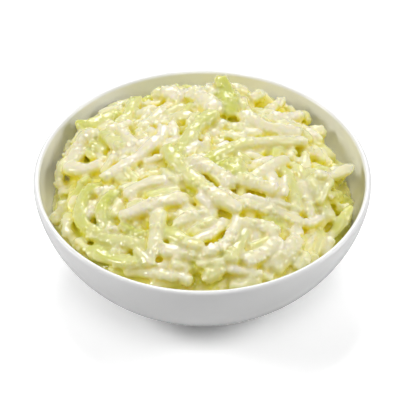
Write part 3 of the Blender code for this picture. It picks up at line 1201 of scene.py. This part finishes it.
def closed_in(places):
    """Mean share of the sky that the heap hides from each place, over all directions."""
    total = np.zeros(len(places))
    for turn in LOOK_TURNS:
        steepest = np.zeros(len(places))
        for distance in LOOK_DISTANCES:
            x = places[:, 0] + distance * math.cos(turn)
            y = places[:, 1] + distance * math.sin(turn)
            steepest = np.maximum(steepest, (pile[cell_of(x, y)] - places[:, 2]) / distance)
        total += steepest / np.hypot(steepest, 1)
    return total / len(LOOK_TURNS)


def vertex_vectors(mesh, name):
    """The places ("co") or normals ("normal") of a mesh's points, one row for each."""
    values = np.empty(len(mesh.vertices) * 3, np.float32)
    mesh.vertices.foreach_get(name, values)
    return values.reshape(-1, 3)


def store_value(mesh, name, values):
    """Stores one number for each point of a mesh."""
    mesh.attributes.new(name, "FLOAT", "POINT").data.foreach_set("value", values.astype(np.float32))


def store_painted_shade(made):
    """Stores the depth value that the finishes read: painted shade for closed-in and sideways-facing spots,
    lowered near the wall as painted light.
    """
    places = vertex_vectors(made.data, "co")
    closed = closed_in(places)
    on_top = places[:, 2] > pile[cell_of(places[:, 0], places[:, 1])] - TOP_BAND
    print(made.name, "closed-in on top, lowest and highest tenth:",
          np.percentile(closed[on_top], [10, 90]).round(2))
    # Faces that look sideways get more painted shade.
    aside = 1 - np.clip(vertex_vectors(made.data, "normal")[:, 2], 0, 1)
    to_wall = wall_radius(np.arctan2(places[:, 1], places[:, 0])) - np.hypot(places[:, 0], places[:, 1])
    # Near the wall the painted shade is lowered, a painted light that stands in for the glaze's bounce.
    wall_glow = WALL_GLOW * np.clip(1 - to_wall / WALL_GLOW_REACH, 0, 1)
    shade = np.clip((closed - OPEN) / (CLOSED - OPEN) + SIDE_SHADE_SHARE * aside, 0, 1) * (1 - wall_glow)
    store_value(made.data, "depth", shade)


for made in [*shreds.values(), core, dressing]:
    store_painted_shade(made)
for made in (core, dressing):
    places = vertex_vectors(made.data, "co")
    store_value(made.data, "green", soft_green[cell_of(places[:, 0], places[:, 1])])

# %% [markdown]
# ## Glaze
#
# Porcelain under a clear white glaze: a very smooth dielectric with an IOR near 1.5, almost
# neutral in colour. A faint, broad unevenness of its tone and of its skin, a few centimetres
# across as on a hand-glazed bowl, keeps its reflections from looking like plastic.

# %% Glazed porcelain
GLAZE_TONE, GLAZE_CLOUD_TONE = "f5f5f4", "f8f8f8"
CLOUD_SIZE = 30 * MM
WAVE_SIZE = 16 * MM
GLAZE_IOR = 1.5


def glaze_finish():
    """White glazed porcelain: sharp but soft-edged reflections on an almost even white."""
    material = bpy.data.materials.new("white_glazed_porcelain")
    material.use_nodes = True
    tree = material.node_tree
    skin = tree.nodes["Principled BSDF"]
    place = add_node(tree, "ShaderNodeTexCoord").outputs["Object"]
    cloud = add_node(tree, "ShaderNodeTexNoise", {"Vector": place, "Scale": 1 / CLOUD_SIZE, "Detail": 2.0})
    tint = layered(tree, colour(GLAZE_TONE), (cloud.outputs[0], colour(GLAZE_CLOUD_TONE)))
    tree.links.new(tint, skin.inputs["Base Color"])
    skin.inputs["Roughness"].default_value = 0.16
    skin.inputs["IOR"].default_value = GLAZE_IOR
    waves = add_node(tree, "ShaderNodeTexNoise", {"Vector": place, "Scale": 1 / WAVE_SIZE, "Detail": 1.0})
    bump = add_node(tree, "ShaderNodeBump", {
        "Height": waves.outputs[0], "Strength": 0.15, "Distance": 0.2 * MM,
    })
    tree.links.new(bump.outputs[0], skin.inputs["Normal"])
    return material


bowl.data.materials.append(glaze_finish())
print("bowl's finish:", bowl.data.materials[0].name)

# %% [markdown]
# ## The table
#
# Two sheets stand for the table. The floor is only seen and catches shadows, and its tone is
# lifted until it is white. The bounce card lies just below it, unseen, and sends light up to
# the bowl's underside as a pale table does. Apart, each can be as bright as it needs to be.

# %% Table
FLOOR_HALF = 3.0
FLOOR_TONE, FLOOR_GAIN = "ffffff", 1.45
CARD_TONE, CARD_GAIN = "e4e4e4", 1.0
CARD_DROP = 0.3 * MM


def stage_sheet(name, height, code, gain):
    """A large flat square. gain lifts its tone, as a lamp of its own would."""
    half = FLOOR_HALF
    corners = [(-half, -half, height), (half, -half, height), (half, half, height), (-half, half, height)]
    mesh = bpy.data.meshes.new(name)
    mesh.from_pydata(corners, [], [(0, 1, 2, 3)])
    made = mesh_object(name, mesh)
    finish = bpy.data.materials.new(name + "_paper")
    finish.use_nodes = True
    tree = finish.node_tree
    tree.nodes.clear()
    tone = [value * gain for value in colour(code)[:3]] + [1.0]
    paper = add_node(tree, "ShaderNodeBsdfDiffuse", {"Color": tone})
    add_node(tree, "ShaderNodeOutputMaterial", {"Surface": paper.outputs[0]})
    mesh.materials.append(finish)
    return made


floor = stage_sheet("floor", 0.0, FLOOR_TONE, FLOOR_GAIN)
floor.visible_diffuse = False
floor.visible_glossy = False
floor.visible_shadow = False
floor.visible_transmission = False
card = stage_sheet("bounce_card", -CARD_DROP, CARD_TONE, CARD_GAIN)
card.visible_camera = False
print("table sheets:", floor.name, card.name)

# %% [markdown]
# ## The sky
#
# The sky is dim, so that the lamps give the shape. It is brighter overhead and behind the
# bowl, because shreds seen at a grazing angle reflect what is behind them, and a dark
# backdrop would draw a dark line round each of them.

# %% Sky
HORIZON = 0.09
OVERHEAD, OVERHEAD_POWER = 0.25, 2.5
BACKDROP, BACKDROP_POWER = 0.35, 2.0

world = bpy.data.worlds.new("soft_sky")
bpy.context.scene.world = world
world.use_nodes = True
sky = world.node_tree
direction = add_node(sky, "ShaderNodeTexCoord")
parts = add_node(sky, "ShaderNodeSeparateXYZ", {0: direction.outputs["Generated"]})
glows = []
for part, power, strength in ((2, OVERHEAD_POWER, OVERHEAD), (1, BACKDROP_POWER, BACKDROP)):
    facing = add_node(sky, "ShaderNodeMath", {0: parts.outputs[part], 1: 0.0}, operation="MAXIMUM")
    narrowed = add_node(sky, "ShaderNodeMath", {0: facing.outputs[0], 1: power}, operation="POWER")
    glows.append(add_node(sky, "ShaderNodeMath", {0: narrowed.outputs[0], 1: strength}, operation="MULTIPLY"))
both = add_node(sky, "ShaderNodeMath", {0: glows[0].outputs[0], 1: glows[1].outputs[0]}, operation="ADD")
brightness = add_node(sky, "ShaderNodeMath", {0: both.outputs[0], 1: HORIZON}, operation="ADD")
background = sky.nodes["Background"]
sky.links.new(brightness.outputs[0], background.inputs["Strength"])
background.inputs["Color"].default_value = colour("ffffff")
print("sky:", len(sky.nodes), "nodes")

# %% [markdown]
# ## The lamps
#
# Five soft round lamps stand about the bowl. Those behind and at the two sides are low, so
# light runs across the heap and each shred has a bright edge. One over the front keeps the
# bowl's near wall a gentle grey, and a small high one puts the glints on the dressing.

# %% Lamps
LAMP_DISTANCE = 1.2
LAMP_TARGET = Vector((0, 0, 30 * MM))
# Name, degrees about the bowl from its right, degrees above the table, size and power.
LAMPS = [
    ("back_lamp", 90, 40, 0.4, 3.7),
    ("left_lamp", 180, 33, 0.4, 5.1),
    ("right_lamp", 0, 33, 0.5, 4.7),
    ("front_lamp", -80, 61, 0.5, 2.3),
    ("top_lamp", 120, 78, 0.14, 1.5),
]


def studio_lamp(name, turn, elevation, size, power):
    """A round lamp that looks at the heap. size is in metres and power in watts."""
    turn, elevation = math.radians(turn), math.radians(elevation)
    reach = LAMP_DISTANCE * math.cos(elevation)
    place = Vector((reach * math.cos(turn), reach * math.sin(turn), LAMP_DISTANCE * math.sin(elevation)))
    lamp = bpy.data.lights.new(name, "AREA")
    lamp.shape = "DISK"
    lamp.size = size
    lamp.energy = power
    made = bpy.data.objects.new(name, lamp)
    made.location = place
    made.rotation_euler = (LAMP_TARGET - place).to_track_quat("-Z", "Y").to_euler()
    bpy.context.scene.collection.objects.link(made)


for lamp in LAMPS:
    studio_lamp(*lamp)
print("lamps:", len(LAMPS))

# %% [markdown]
# ## The camera
#
# The camera looks down into the bowl from the front with a long lens, as food is often shown.
# It stands on a line that rises from the middle of the rim and looks along one a degree
# steeper, which puts the bowl a little above the middle.

# %% Camera
CAMERA_ELEVATION = 42.5497
CAMERA_TURN = 0.1183
RIM_ELEVATION = math.radians(41.5)
CAMERA_DISTANCE = 9 * RIM_RADIUS
SENSOR_WIDTH, LENS = 36, 136.7
camera_data = bpy.data.cameras.new("camera")
camera_data.sensor_width = SENSOR_WIDTH
camera_data.lens = LENS
camera = bpy.data.objects.new("camera", camera_data)
camera.location = (
    0,
    -CAMERA_DISTANCE * math.cos(RIM_ELEVATION),
    BOWL_HEIGHT + CAMERA_DISTANCE * math.sin(RIM_ELEVATION),
)
camera.rotation_euler = (math.radians(90 - CAMERA_ELEVATION), 0, math.radians(CAMERA_TURN))
bpy.context.scene.collection.objects.link(camera)
bpy.context.scene.camera = camera
bpy.context.scene.view_settings.view_transform = "Standard"
print("camera's distance from the rim's middle, m:", round(CAMERA_DISTANCE, 2))

# %% [markdown]
# ## Riding the frame
#
# Nothing on a bowl of slaw moves on its own, so every piece rides on the one body. The bowl and
# the core stand for the two frame nodes, and the other pieces belong to the slaw.

# %% Hand the pieces to the frame
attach(bowl, "root")
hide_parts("bowl")
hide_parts("coleslaw")
for made in [core, dressing, *shreds.values()]:
    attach(made, "root")
